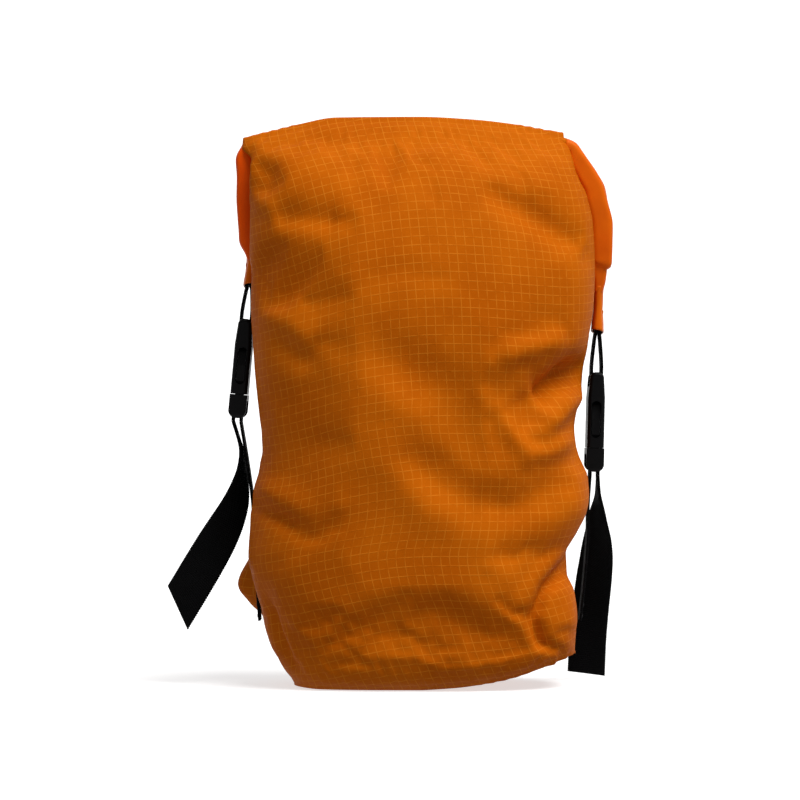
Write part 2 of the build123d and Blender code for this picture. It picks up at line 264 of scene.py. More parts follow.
def coated_material(name, base, shade):
    """The coated inner face of the fabric: smooth, saturated, with a faint crumple."""
    mat, tree, shader = material(name)
    objects = add(tree, "ShaderNodeTexCoord").outputs["Object"]
    cloudy = noise_node(tree, objects, 34.0, 4.0)
    tree.links.new(mix_colour(tree, ramp(tree, cloudy, 0.3, 0.7), base, shade),
                   shader.inputs["Base Color"])
    crumple = noise_node(tree, objects, 95.0, 5.0, 0.62)
    bump(tree, shader, crumple, 0.8 * MM, 0.16)
    rough = plus(tree, times(tree, cloudy, 0.2), 0.34)
    tree.links.new(rough, shader.inputs["Roughness"])
    shader.inputs["Specular IOR Level"].default_value = 0.2
    shader.inputs["Specular Tint"].default_value = (1.0, 0.5, 0.15, 1.0)
    return mat


def webbing_material(name, base, light):
    """Flat woven webbing: cross ribs, each broken into short floats of yarn."""
    mat, tree, shader = material(name)
    uv = add(tree, "ShaderNodeUVMap", uv_map="weave").outputs["UV"]
    split = add(tree, "ShaderNodeSeparateXYZ")
    tree.links.new(uv, split.inputs[0])
    across, along = split.outputs["X"], split.outputs["Y"]
    objects = add(tree, "ShaderNodeTexCoord").outputs["Object"]
    ribs = math_node(tree, "SINE", times(tree, along, 2 * math.pi / RIB_PITCH))
    slant = plus(tree, across, times(tree, along, 0.5))
    floats = math_node(tree, "SINE", times(tree, slant, 2 * math.pi / (1.6 * MM)))
    weave = times(tree, ribs, plus(tree, floats, 1.6))
    fuzz = noise_node(tree, objects, 1400.0, 2.0)
    dusty = noise_node(tree, objects, 90.0, 3.0)
    tone = times(tree, ramp(tree, weave, -0.6, 2.2), ramp(tree, dusty, 0.2, 0.9))
    tree.links.new(mix_colour(tree, tone, base, light), shader.inputs["Base Color"])
    height = plus(tree, weave, times(tree, fuzz, 1.1))
    bump(tree, shader, height, 0.16 * MM, 0.8)
    shader.inputs["Roughness"].default_value = 0.82
    shader.inputs["Specular IOR Level"].default_value = 0.05
    return mat


def plastic_material(name, base, light, grain=1500.0, rough=0.42):
    """Moulded plastic with a fine spark-eroded grain and lighter scuffs."""
    mat, tree, shader = material(name)
    objects = add(tree, "ShaderNodeTexCoord").outputs["Object"]
    grains = noise_node(tree, objects, grain, 2.0)
    scuffs = ramp(tree, noise_node(tree, objects, 210.0, 5.0, 0.7), 0.56, 0.74)
    tree.links.new(mix_colour(tree, times(tree, scuffs, 0.5), base, light),
                   shader.inputs["Base Color"])
    bump(tree, shader, grains, 0.05 * MM, 0.35)
    roughness = plus(tree, times(tree, scuffs, 0.2), rough)
    tree.links.new(roughness, shader.inputs["Roughness"])
    shader.inputs["Specular IOR Level"].default_value = 0.07
    return mat


def plain_weave_material(name, base, light, pitch=0.9 * MM, rough=0.75):
    mat, tree, shader = material(name)
    objects = add(tree, "ShaderNodeTexCoord").outputs["Object"]
    fine = noise_node(tree, objects, 1.0 / pitch, 2.0)
    cloudy = noise_node(tree, objects, 60.0, 3.0)
    tree.links.new(mix_colour(tree, cloudy, base, light), shader.inputs["Base Color"])
    bump(tree, shader, fine, 0.15 * MM, 0.5)
    shader.inputs["Roughness"].default_value = rough
    return mat


MATERIALS = {
    "ripstop": ripstop_material("ripstop_orange", (0.57, 0.122, 0.0022), (0.80, 0.26, 0.02),
                                (0.50, 0.100, 0.0016)),
    "coated": coated_material("coated_orange", (0.80, 0.165, 0.004), (0.70, 0.125, 0.003)),
    # Both ears are one coated cloth, given lit and shaded copies of it: the left ear's brighter,
    # redder colour is a painted back-lit glow, the right ear's a lit copy.
    "ear_left": coated_material("coated_left_ear_painted_glow", (0.94, 0.10, 0.002), (0.80, 0.075, 0.001)),
    "ear_right": coated_material("coated_right_ear_lit_copy", (0.84, 0.15, 0.003), (0.74, 0.11, 0.002)),
    "webbing": webbing_material("webbing_black", (0.0014, 0.0014, 0.0016),
                                (0.0062, 0.0062, 0.0068)),
    "buckle": plastic_material("buckle_black", (0.0014, 0.0014, 0.0016), (0.0042, 0.0042, 0.0046)),
    "thread": plain_weave_material("thread_orange", (0.6, 0.13, 0.01), (0.75, 0.2, 0.02)),
    "thread_black": plain_weave_material("thread_black", (0.008, 0.008, 0.009), (0.02, 0.02, 0.02)),
    "tape": plain_weave_material("seam_tape_grey", (0.3, 0.27, 0.24), (0.36, 0.33, 0.3)),
    "strip": plastic_material("stiffener_black", (0.01, 0.01, 0.011), (0.03, 0.03, 0.03)),
}


# ---------- mesh helpers

def make_piece(name, points, faces, mat, uvs=None, flat=False):
    """Mesh object from arrays; uvs are per vertex, in metres of cloth."""
    mesh = bpy.data.meshes.new(name)
    mesh.from_pydata([tuple(p) for p in points], [], [tuple(f) for f in faces])
    mesh.update()
    if uvs is not None:
        layer = mesh.uv_layers.new(name="weave")
        corners = np.empty(len(mesh.loops), int)
        mesh.loops.foreach_get("vertex_index", corners)
        layer.data.foreach_set("uv", np.asarray(uvs, float)[corners].ravel())
    mesh.polygons.foreach_set("use_smooth", [not flat] * len(mesh.polygons))
    piece = bpy.data.objects.new(name, mesh)
    bpy.context.scene.collection.objects.link(piece)
    mesh.materials.append(mat)
    return piece


def grid_faces(rows, columns, wrap=False):
    """Quads of a grid whose points are numbered row by row."""
    faces = []
    for i in range(rows - 1):
        for j in range(columns if wrap else columns - 1):
            k = (j + 1) % columns
            faces.append((i * columns + j, i * columns + k,
                          (i + 1) * columns + k, (i + 1) * columns + j))
    return faces


def apply_modifiers(piece):
    graph = bpy.context.evaluated_depsgraph_get()
    mesh = bpy.data.meshes.new_from_object(piece.evaluated_get(graph))
    old = piece.data
    piece.modifiers.clear()
    piece.data = mesh
    bpy.data.meshes.remove(old)


def thicken(piece, thickness, offset=-1.0):
    """Gives a sheet its thickness: inward from its outer face, or to both sides at offset 0."""
    solid = piece.modifiers.new("thickness", "SOLIDIFY")
    solid.thickness = thickness
    solid.offset = offset
    apply_modifiers(piece)


def fix_normals(piece):
    mesh = bmesh.new()
    mesh.from_mesh(piece.data)
    bmesh.ops.recalc_face_normals(mesh, faces=mesh.faces)
    mesh.to_mesh(piece.data)
    mesh.free()


def grid_normals(points):
    """Outward normals of a grid that wraps along its second index."""
    along = np.gradient(points, axis=0)
    around = np.roll(points, -1, axis=1) - np.roll(points, 1, axis=1)
    normals = np.cross(around, along)
    size = np.linalg.norm(normals, axis=2, keepdims=True)
    return normals / np.maximum(size, 1e-12)


# ---------- the bag's body

roll_low, roll_high = node_box("rolled_top")
ROLL_MIDDLE_Y = (roll_low.y + roll_high.y) / 2
CREST = roll_high.z

# Outer edges of the body seen from the front, by height, in millimetres.
LEFT_EDGE = smooth([
    (0, -78), (10, -84), (28, -94), (45, -98.5), (63, -103.5), (82, -107), (100, -106.5),
    (117, -105), (136, -100.5), (148, -98.8), (168, -100.2), (196, -102.8), (230, -105),
    (268, -106), (313, -106.5), (330, -109), (341, -111.2), (353, -110),
])
RIGHT_EDGE = smooth([
    (0, 96.5), (25, 97.5), (50, 95.5), (69, 91.5), (82, 91.2), (97, 98.5), (108, 103.5),
    (118, 105.2),
    (128, 104.5), (142, 98.8), (152, 96.5), (161, 96), (169, 97.3), (180, 100.4), (193, 101.4),
    (211, 104.2), (239, 107.6), (268, 108.4), (293, 107.8), (311, 104.3), (327, 98.6), (343, 94),
    (353, 90),
])
FRONT_DEPTH = smooth([
    (0, 50), (5, 59), (14, 65), (40, 68.5), (90, 70), (150, 71), (200, 70), (245, 66),
    (280, 58), (305, 47), (325, 35), (340, 22), (348, 14), (353, 8),
])
BACK_DEPTH = smooth([
    (0, 50), (5, 59), (14, 65), (40, 68), (90, 69.5), (150, 70.5), (200, 69.5), (245, 66),
    (280, 60), (305, 52), (322, 45), (334, 38), (342, 31), (353, 22),
])
# How square a ring is: 2 is an ellipse.
SQUARENESS = smooth([
    (0, 3.4), (20, 3.2), (80, 2.9), (200, 2.9), (270, 3.0), (320, 3.2), (353, 3.4),
])
# Height of the crest and lift of the base, by X.
CREST_HEIGHT = smooth([
    (-112, 340), (-100, 342.5), (-75, 348.5), (-52, 352.6), (0, 353), (31, 351.5),
    (62, 348), (80, 345), (96, 343),
])
BASE_LIFT = smooth([
    (-110, 6), (-80, 1.5), (-55, 0), (-10, 0), (20, 1.5), (50, 6), (80, 15), (100, 21),
])
BODY_HEIGHT = 353
BASE_HALF_X, BASE_HALF_Y = 88, 54       # where the base's lift is in full

BASE_ROWS, WALL_ROWS, COLUMNS = 10, 132, 272


def section(height, left, right, front, back, power):
    """One ring of the body, evenly spaced along each of its two halves, left seam first."""
    angle = np.linspace(math.pi, 2 * math.pi, 700)
    c, s = np.cos(angle), np.sin(angle)
    px, py = np.sign(c) * np.abs(c) ** (2 / power), np.sign(s) * np.abs(s) ** (2 / power)
    middle, half = (left + right) / 2, (right - left) / 2
    ring = []
    for depth, x, y in ((front, px, py), (back, -px, -py)):
        xs, ys = middle + half * x, depth * y
        run = np.concatenate([[0], np.cumsum(np.hypot(np.diff(xs), np.diff(ys)))])
        even = np.linspace(0, run[-1], COLUMNS // 2 + 1)[:-1]
        ring.append(np.stack([np.interp(even, run, xs), np.interp(even, run, ys)], axis=1))
    flat = np.concatenate(ring)
    return np.column_stack([flat, np.full(len(flat), height)])


def body_rows():
    """Grid of the body in millimetres: base rows from its middle out, then the walls."""
    rows = []
    for share in np.linspace(0.12, 1.0, BASE_ROWS, endpoint=False):
        rows.append(section(0.0, LEFT_EDGE(0) * share, RIGHT_EDGE(0) * share,
                            FRONT_DEPTH(0) * share, BACK_DEPTH(0) * share, 3.2))
    spread = np.linspace(0, 1, WALL_ROWS)
    heights = BODY_HEIGHT * (0.55 * spread + 0.45 * (3 * spread ** 2 - 2 * spread ** 3))
    for h in heights:
        rows.append(section(h, LEFT_EDGE(h), RIGHT_EDGE(h), FRONT_DEPTH(h), BACK_DEPTH(h),
                            float(SQUARENESS(h))))
    return np.array(rows)


# Folds on the front, read as (X, Z) lines in millimetres with their half width and their
# height: a positive height is a ridge, a negative one a valley.
FRONT_FOLDS = [
    ([(-70, 350), (-58, 338), (-44, 322), (-40, 308)], 7, -2.4),
    ([(-92, 334), (-82, 312), (-60, 298)], 16, 3.0),
    ([(-104, 326), (-96, 312), (-92, 300)], 8, -4.5),
    ([(-106, 308), (-97, 296), (-88, 294)], 5, 2.6),
    ([(-92, 289), (-72, 287), (-48, 285)], 8, -4.2),
    ([(-50, 300), (-46, 270), (-40, 240)], 18, 2.4),
    ([(-102, 270), (-86, 252), (-70, 240)], 18, -5.5),
    ([(-98, 232), (-80, 222), (-64, 206)], 7, 3.6),
    ([(-92, 214), (-76, 204), (-66, 196)], 7, -2.8),
    ([(0, 335), (10, 312), (30, 298)], 22, 2.5),
    ([(30, 306), (46, 300), (66, 290), (84, 280), (100, 266)], 10, -5.2),
    ([(86, 332), (76, 310), (60, 306)], 16, 3.4),
    ([(-46, 246), (-30, 252), (-12, 254), (14, 250), (30, 244)], 9, -2.2),
    ([(-40, 214), (-10, 197), (18, 180), (34, 150), (46, 126)], 16, -6.0),
    ([(-34, 188), (-8, 168), (-20, 140), (6, 112), (34, 98)], 14, 3.4),
    ([(44, 200), (62, 206), (92, 216)], 8, 5.5),
    ([(70, 176), (84, 186), (104, 200)], 10, -13.0),
    ([(96, 186), (84, 168), (70, 150)], 6, 4.2),
    ([(50, 170), (56, 156), (66, 143), (76, 144), (98, 156)], 6, 5.4),
    ([(62, 182), (66, 168), (70, 158)], 7, -3.4),
    ([(-10, 152), (16, 128), (36, 116), (58, 111), (80, 120), (98, 136)], 13, -6.5),
    ([(104, 126), (86, 108), (66, 84), (44, 56)], 15, 6.0),
    ([(94, 82), (76, 62), (70, 46), (74, 30), (86, 24)], 4, -8.5),
    ([(88, 90), (68, 66), (62, 44)], 6, 3.4),
    ([(-97, 56), (-90, 34), (-82, 17), (-70, 6)], 3.4, -8.0),
    ([(-102, 44), (-94, 24), (-82, 8)], 5, 4.0),
    ([(98, 72), (92, 54), (90, 34)], 9, 3.6),
    ([(-108, 118), (-92, 108), (-74, 99)], 5, -4.0),
    ([(-104, 128), (-86, 116), (-66, 106)], 8, 2.4),
    ([(-72, 196), (-62, 150), (-48, 110)], 18, -2.6),
    ([(-84, 84), (-66, 56), (-46, 30)], 14, 2.6),
    ([(-100, 70), (-86, 40), (-70, 16)], 7, -3.0),
    ([(0, 60), (40, 34), (70, 20)], 12, -2.4),
    ([(-40, 24), (0, 18), (40, 20)], 10, 1.8),
]
# Folds that run round the front edges of the sides.
EDGE_FOLDS = [
    ([(70, 178), (86, 188), (108, 201)], 8, -10.0),
    ([(74, 160), (90, 174), (108, 184)], 6, 3.0),
    ([(-110, 336), (-100, 322), (-86, 312)], 6, -3.0),
]
BACK_FOLDS = [
    ([(-80, 320), (-50, 296), (-30, 270)], 14, -3.5),
    ([(76, 318), (50, 290), (44, 262)], 14, -3.8),
    ([(-100, 236), (-60, 222), (-20, 232)], 12, -4.0),
    ([(-86, 180), (-40, 196), (10, 180), (50, 150)], 14, -5.0),
    ([(-60, 160), (-10, 150), (30, 110)], 15, 3.8),
    ([(98, 210), (70, 190), (40, 190)], 9, 4.2),
    ([(102, 190), (76, 172), (60, 150)], 9, -7.0),
    ([(-100, 120), (-70, 104), (-40, 100), (10, 84), (60, 92), (96, 112)], 11, -5.0),
    ([(-90, 84), (-50, 70), (0, 60), (60, 70)], 14, 3.0),
    ([(-96, 50), (-76, 34), (-66, 14)], 8, -4.4),
    ([(92, 50), (74, 36), (64, 16)], 8, -4.4),
    ([(0, 330), (6, 290), (-6, 250)], 16, 2.6),
]


REAR_BULGE = 16.0          # how far the rear left corner stands out, low down
FOLD_SHARE = 0.7           # how much of each listed fold's height is used
CLOTH_FRAMES = 22
CLOTH_SLACK = 0.026        # how much larger the cloth is than the shape it is laid on
CLOTH_REACH = 9.0          # how far a point may move, in millimetres


def fold_height(x, z, folds):
    """Sum of the folds at each point, each one fading out at both of its ends."""
    total = np.zeros(x.shape)
    for line, half_width, height in folds:
        distance, along = near_line(x, z, line)
        fade = step(along, 0.0, 0.22) * step(along, 1.0, 0.78) * 0.75 + 0.25
        total += height * fade * np.exp(-((distance / half_width) ** 2))
    return total


def fabric_noise(points, scale, seed, stretch=(1, 1, 1)):
    """Smooth noise at each point of a grid, from -1 to 1."""
    flat = points.reshape(-1, 3) * np.array(stretch) / scale + seed
    values = [noise.noise(Vector(p)) for p in flat]
    return np.array(values).reshape(points.shape[:2])


def outer_limit(side):
    """Half width, by height, that keeps the body under the strap, the buckle and the ear of the
    roll that lie on its side."""
    strap_low = node_box(side + "_lower_strap")
    strap_up = node_box(side + "_upper_strap")
    socket = node_box(side + "_buckle_socket")
    sleeve = node_box(side + "_tab_sleeve")
    near_sleeve = inner_x(sleeve) / MM
    points = [
        (-1.0, inner_x(strap_low) / MM), (strap_low[0].z / MM, inner_x(strap_low) / MM),
        (strap_low[1].z / MM, outer_x(strap_low) / MM - 2.6),
        (strap_up[1].z / MM, inner_x(strap_up) / MM + 0.4),
        (socket[0].z / MM + 14.0, inner_x(socket) / MM - 0.6),
        (socket[1].z / MM, near_sleeve - 2.0),
        (sleeve[1].z / MM, near_sleeve - 2.0),
        (sleeve[1].z / MM + 16.0, near_sleeve - 3.0),
        (322.0, near_sleeve - 3.0), (336.0, 114.0), (CREST / MM + 1.0, 114.0),
    ]
    return smooth([(z, x - 1.0) for z, x in points])


def slope_body(points):
    """Slopes the plain grid's crest and lifts the edge of its base."""
    x, y, z = points[..., 0], points[..., 1], points[..., 2]
    crest = CREST_HEIGHT(x)
    z_top = step(z, 180, BODY_HEIGHT)
    z_new = z * (1 + ((crest - 1.2) / BODY_HEIGHT - 1) * z_top)
    share = np.clip(np.hypot(x / BASE_HALF_X, y / BASE_HALF_Y), 0, 1)
    lift = BASE_LIFT(x) * (1 - step(z, 0, 90)) * share
    points[..., 2] = z_new + lift
    return points


def fold_body(points):
    """Adds the large folds and a little unevenness."""
    y = points[..., 1]
    normals = grid_normals(points)
    front = step(y, -6, -42)
    back = step(y, -2, 26)
    x, z = points[..., 0].copy(), points[..., 2].copy()
    wall = step(z, 1.0, 22.0)
    top_fade = 1 - step(z, 336, 350)
    out = fold_height(x, z, FRONT_FOLDS) * front + fold_height(x, z, BACK_FOLDS) * back
    broad = fabric_noise(points, 60.0, 3.1, (1, 1, 0.8)) * 1.4
    round_edge = step(y, 2, -26)
    out += fold_height(x, z, EDGE_FOLDS) * round_edge
    amount = (FOLD_SHARE * out + broad) * wall * top_fade
    return points + normals * amount[..., None]


def tuck_sides(points):
    """Sewn side seams, and hollows under what lies on the sides."""
    x, y, z = (points[..., k] for k in range(3))
    bulge = np.exp(-(((z - 60) / 21) ** 2)) * step(y, 15, 33) * step(-x, 60, 92)
    seam = np.exp(-((y / 1.3) ** 2)) * step(z, 1.0, 22.0)
    points = points - grid_normals(points) * (0.9 * seam)[..., None]
    for side, sign in (("left", -1), ("right", 1)):
        limit = outer_limit(side)(points[..., 2])
        band = step(points[..., 1], -18, -6) * step(points[..., 1], 56, 34)
        excess = np.maximum(points[..., 0] * sign - limit, 0)
        points[..., 0] -= sign * excess * band
    points[..., 0] -= REAR_BULGE * bulge
    points[..., 2] = np.maximum(points[..., 2], 0.25)
    return points


def settle_cloth(points):
    """Cloth simulation: oversized cloth, pushed out by the air inside, buckles into folds. The
    rows at the base and the crest are held, and the side seams held a little. It runs on every
    second row and column, and gives the full grid moved by the same amount."""
    start = points[BASE_ROWS:][::2, ::2]
    rows, columns = start.shape[:2]
    skin = make_piece("cloth_trial", start.reshape(-1, 3) * MM,
                      [tuple(reversed(face)) for face in grid_faces(rows, columns, wrap=True)],
                      MATERIALS["ripstop"])
    fix_normals(skin)
    hold = skin.vertex_groups.new(name="hold")
    y, z = start[..., 1].ravel(), start[..., 2].ravel()
    weight = np.maximum(1 - step(z, 3, 22), step(z, 328, 346))
    weight = np.maximum(weight, 0.35 * np.exp(-((y / 9) ** 2)))
    weight = np.maximum(weight, 0.3 * (1 - step(z, 22, 70)))
    for k, w in enumerate(weight):
        if w > 0.01:
            hold.add([k], float(w), "REPLACE")
    cloth = skin.modifiers.new("cloth", "CLOTH")
    cloth.settings.quality = 8
    cloth.settings.mass = 0.25
    cloth.settings.tension_stiffness = 30
    cloth.settings.compression_stiffness = 30
    cloth.settings.shear_stiffness = 12
    cloth.settings.bending_stiffness = 1.2
    cloth.settings.vertex_group_mass = "hold"
    cloth.settings.shrink_min = -CLOTH_SLACK
    cloth.settings.use_pressure = True
    cloth.settings.uniform_pressure_force = 3.0
    cloth.settings.effector_weights.gravity = 0
    cloth.point_cache.frame_end = CLOTH_FRAMES + 1
    scene = bpy.context.scene
    for number in range(1, CLOTH_FRAMES + 1):
        scene.frame_set(number)
    graph = bpy.context.evaluated_depsgraph_get()
    settled = np.array([tuple(v.co) for v in skin.evaluated_get(graph).data.vertices]) / MM
    bpy.data.objects.remove(skin)
    scene.frame_set(1)
    move = settled.reshape(rows, columns, 3) - start
    size = np.linalg.norm(move, axis=2, keepdims=True)
    move *= np.minimum(1, CLOTH_REACH / np.maximum(size, 1e-9))
    wide = np.concatenate([move, move[:, :1]], axis=1)
    full_rows = np.arange(len(points) - BASE_ROWS) / 2
    full_columns = np.arange(points.shape[1]) / 2
    part = np.stack([[np.interp(full_columns, np.arange(columns + 1), row[:, k]) for row in wide]
                     for k in range(3)], axis=2)
    whole = np.stack([[np.interp(full_rows, np.arange(rows), part[:, c, k])
                       for c in range(part.shape[1])] for k in range(3)], axis=2)
    moved = points.copy()
    sideways = grid_normals(points)[BASE_ROWS:, :, :1] ** 2
    moved[BASE_ROWS:] += np.transpose(whole, (1, 0, 2)) * (1 - 0.85 * sideways)
    return moved


def cloth_uv(points, half):
    """Cloth coordinates: distance along the thread lines, from the panel's middle column."""
    across = np.linalg.norm(np.diff(points, axis=1), axis=2)
    run = np.concatenate([np.zeros((len(points), 1)), np.cumsum(across, axis=1)], axis=1)
    run -= run[:, [half]]
    up = np.linalg.norm(np.diff(points, axis=0), axis=2)
    climb = np.concatenate([np.zeros((1, points.shape[1])), np.cumsum(up, axis=0)], axis=0)
    climb = climb.mean(axis=1, keepdims=True) * 0.6 + climb * 0.4
    return run, climb


GRID_TILT = math.radians(5.0)      # of the ripstop grid on each panel
# How the front panel goes on over the roll, from its own top edge: back and up, in metres.
LAP_PATH = [(0.0008, 0.0006), (0.0024, 0.0012), (0.0055, 0.0015), (0.010, 0.0016),
            (0.015, 0.0015), (0.0195, 0.0012), (0.023, 0.0006)]


def lap_over_roll(grid):
    """Front panel's grid, with rows added that carry it back over the top of the roll."""
    edge = grid[-1]
    rows = [edge + np.array([0.0, back, up]) for back, up in LAP_PATH]
    return np.concatenate([grid, np.array(rows)])


def panel_piece(name, flat, grid, mirror):
    """One panel, from seam to seam, as its own piece of cloth. Its threads are laid out on the
    body's shape before it folded."""
    rows, columns = grid.shape[:2]
    across, up = cloth_uv(flat, columns // 2)
    tilt = GRID_TILT if not mirror else -GRID_TILT
    u = across * math.cos(tilt) + up * math.sin(tilt) + 0.5
    v = up * math.cos(tilt) - across * math.sin(tilt) + 0.5
    return make_piece(
        name, grid.reshape(-1, 3), grid_faces(rows, columns), MATERIALS["ripstop"],
        np.stack([u, v], axis=2).reshape(-1, 2),
    )


def build_body():
    plain = slope_body(body_rows())
    points = tuck_sides(settle_cloth(fold_body(plain))) * MM
    half = COLUMNS // 2
    front = lambda grid: grid[:, : half + 1]
    back = lambda grid: np.concatenate([grid[:, half:], grid[:, :1]], axis=1)
    low_back = np.minimum(points[..., 2], CREST_HEIGHT(points[..., 0] / MM) * MM - 5 * MM)
    points[..., 2] = np.where(points[..., 1] > 10 * MM, low_back, points[..., 2])
    flat, folded = lap_over_roll(front(plain * MM)), lap_over_roll(front(points))
    pieces = [panel_piece("front_cloth", flat, folded, False),
              panel_piece("back_cloth", back(plain * MM), back(points), True)]
    for piece, node in zip(pieces, ("front_panel", "back_panel")):
        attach(piece, "bag")
        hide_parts(node)
        squash_with_closure(piece)
    return points


def squash_with_closure(piece):
    """Gives a soft piece of the body a mesh of its own."""
    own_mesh(piece)


body_grid = build_body()


# ---------- seam tapes inside the body

def inner_tape(name, node, grid, offset):
    """Tape that follows a patch of the body's grid, a little way inside it."""
    along, around = np.gradient(grid, axis=0), np.gradient(grid, axis=1)
    normals = np.cross(around, along)
    normals /= np.maximum(np.linalg.norm(normals, axis=2, keepdims=True), 1e-12)
    rows, columns = grid.shape[:2]
    inner = (grid - normals * offset).reshape(-1, 3)
    piece = make_piece(name, inner, grid_faces(rows, columns), MATERIALS["tape"])
    thicken(piece, 0.25 * MM)
    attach(piece, "bag")
    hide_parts(node)
    squash_with_closure(piece)


def patch(grid, low_z, high_z, column, spread):
    """Rows between two heights, and the columns to both sides of one."""
    heights = grid[:, column, 2]
    rows = [i for i in range(BASE_ROWS, len(grid)) if low_z <= heights[i] <= high_z]
    columns = [(column + k) % grid.shape[1] for k in range(-spread, spread + 1)]
    return grid[rows[0]:rows[-1] + 1][:, columns]


def build_tapes(grid):
    half = COLUMNS // 2
    for side, column in (("left", 0), ("right", half)):
        tape = patch(grid, 8 * MM, 0.29, column, 4)
        inner_tape(side + "_seam_tape_strip", side + "_seam_tape", tape, 0.8 * MM)
        low, high = node_box(side + "_corner_tape")
        corner = patch(grid, low.z, high.z, column, 16)
        inner_tape(side + "_corner_tape_strip", side + "_corner_tape", corner, 1.3 * MM)
    low, high = node_box("bottom_seam_tape")
    xs = np.linspace(low.x * 0.85, high.x * 0.85, 40)
    ys = np.linspace(low.y, high.y, 7)
    floor = np.array([[(x, y, 1.2 * MM + base_lift(x, y)) for x in xs] for y in ys])
    inner_tape("bottom_seam_tape_strip", "bottom_seam_tape", floor, 0.0)


def base_lift(x, y):
    """How far the base is lifted at a point, in metres."""
    share = min(math.hypot(x / MM / BASE_HALF_X, y / MM / BASE_HALF_Y), 1.0)
    return float(BASE_LIFT(x / MM)) * share * MM


build_tapes(body_grid)


# ---------- frames of the two buckles

class Side:
    """One side's buckle frame, read from its joints: outward, up, and the socket's mouth."""

    def __init__(self, name):
        self.name = name
        self.up = -Vector(JOINTS[name + "_buckle_release"]["axis"]).normalized()
        prongs = [Vector(JOINTS[f"{name}_{end}_prong_flex"]["pos_m"]) for end in ("front", "rear")]
        self.mouth = (prongs[0] + prongs[1]) / 2 - self.up * MM
        self.sign = 1.0 if self.mouth.x > 0 else -1.0
        self.out = Vector((0, 1, 0)).cross(self.up) * self.sign
        self.tail_start = Vector(JOINTS[name + "_tail_swing"]["pos_m"])

    def at(self, u, w, v=0.0):
        """Row position of a point given in millimetres outward, up, and along Y."""
        return self.mouth + self.out * (u * MM) + self.up * (w * MM) + Vector((0, v * MM, 0))


SIDES = {name: Side(name) for name in ("left", "right")}


# ---------- webbing

WEBBING_WIDTH, WEBBING_THICKNESS = 25.0 * MM, 1.5 * MM


def spline(points, spacing):
    """Evenly spaced points on a smooth curve through the given ones."""
    pts = np.array([tuple(p) for p in points], float)
    ghost = np.vstack([2 * pts[0] - pts[1], pts, 2 * pts[-1] - pts[-2]])
    dense = []
    for k in range(1, len(ghost) - 2):
        a, b, c, d = ghost[k - 1:k + 3]
        for t in np.linspace(0, 1, 40, endpoint=False):
            dense.append(0.5 * (2 * b + (c - a) * t + (2 * a - 5 * b + 4 * c - d) * t ** 2
                                + (3 * b - a - 3 * c + d) * t ** 3))
    dense.append(pts[-1])
    dense = np.array(dense)
    run = run_along(dense)
    even = np.linspace(0, run[-1], max(int(round(run[-1] / spacing)), 2) + 1)
    return np.stack([np.interp(even, run, dense[:, k]) for k in range(3)], axis=1), even


def strip(name, line, across, body, nodes, end_cut=0.0, thickness=WEBBING_THICKNESS,
          start_run=0.0, wobble=0.0):
    """Flat webbing along a line: across gives each point's width direction. Its edges are
    serrated by the cross ribs, and end_cut slants the last end by that much."""
    tangents = np.gradient(line, axis=0)
    tangents /= np.linalg.norm(tangents, axis=1, keepdims=True)
    across = across - tangents * np.sum(across * tangents, axis=1, keepdims=True)
    across /= np.linalg.norm(across, axis=1, keepdims=True)
    normal = np.cross(tangents, across)
    run = start_run + run_along(line)
    shares = np.array([-1, -0.97, -0.8, -0.5, -0.2, 0.1, 0.4, 0.7, 0.97, 1])
    top, bottom = [], []
    for i, point in enumerate(line):
        rib = 0.22 * MM * math.sin(2 * math.pi * run[i] / RIB_PITCH)
        curl = wobble * math.sin(run[i] * 61.0) * MM
        half = WEBBING_WIDTH / 2 + rib
        slant = end_cut * max(0.0, 1 - (run[-1] - run[i]) / (34 * MM))
        for sheet, face in ((top, 1), (bottom, -1)):
            row = []
            for share in shares:
                edge = abs(share) > 0.99
                lift = 0.5 * thickness * face * (0.35 if edge else 1.0)
                shift = tangents[i] * slant * share * 0.5
                row.append(point + across[i] * half * share + normal[i] * (lift + curl * share ** 2)
                           + shift)
            sheet.append(row)
    rows, columns = len(line), len(shares)
    points = np.concatenate([np.array(top).reshape(-1, 3), np.array(bottom).reshape(-1, 3)])
    count = rows * columns
    faces = grid_faces(rows, columns)
    faces += [tuple(count + k for k in reversed(face)) for face in grid_faces(rows, columns)]
    for i in range(rows - 1):
        a, b = i * columns, (i + 1) * columns
        faces.append((a, b, b + count, a + count))
        a, b = a + columns - 1, b + columns - 1
        faces.append((b, a, a + count, b + count))
    for j in range(columns - 1):
        faces.append((j + 1, j, j + count, j + 1 + count))
        k = count - columns + j
        faces.append((k, k + 1, k + 1 + count, k + count))
    uv = np.stack(np.broadcast_arrays(shares * WEBBING_WIDTH / 2, run[:, None]), axis=2)
    uvs = np.concatenate([uv.reshape(-1, 2)] * 2)
    piece = make_piece(name, points, faces, MATERIALS["webbing"], uvs)
    fix_normals(piece)
    if body:
        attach(piece, body)
    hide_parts(*nodes)
    return piece


def along_y(line):
    return np.tile(np.array([0.0, 1.0, 0.0]), (len(line), 1))


RIB_STEP = 0.42 * MM
LADDER_W, WRAP_MIDDLE = -11.5, 2.45     # the ladder bar, and how far out its webbing runs
WRAP_END_W = -17.0                      # where the wrap ends, below the socket's mouth
LOOP_MIDDLE, LOOP_BOTTOM = 3.0, 41.3


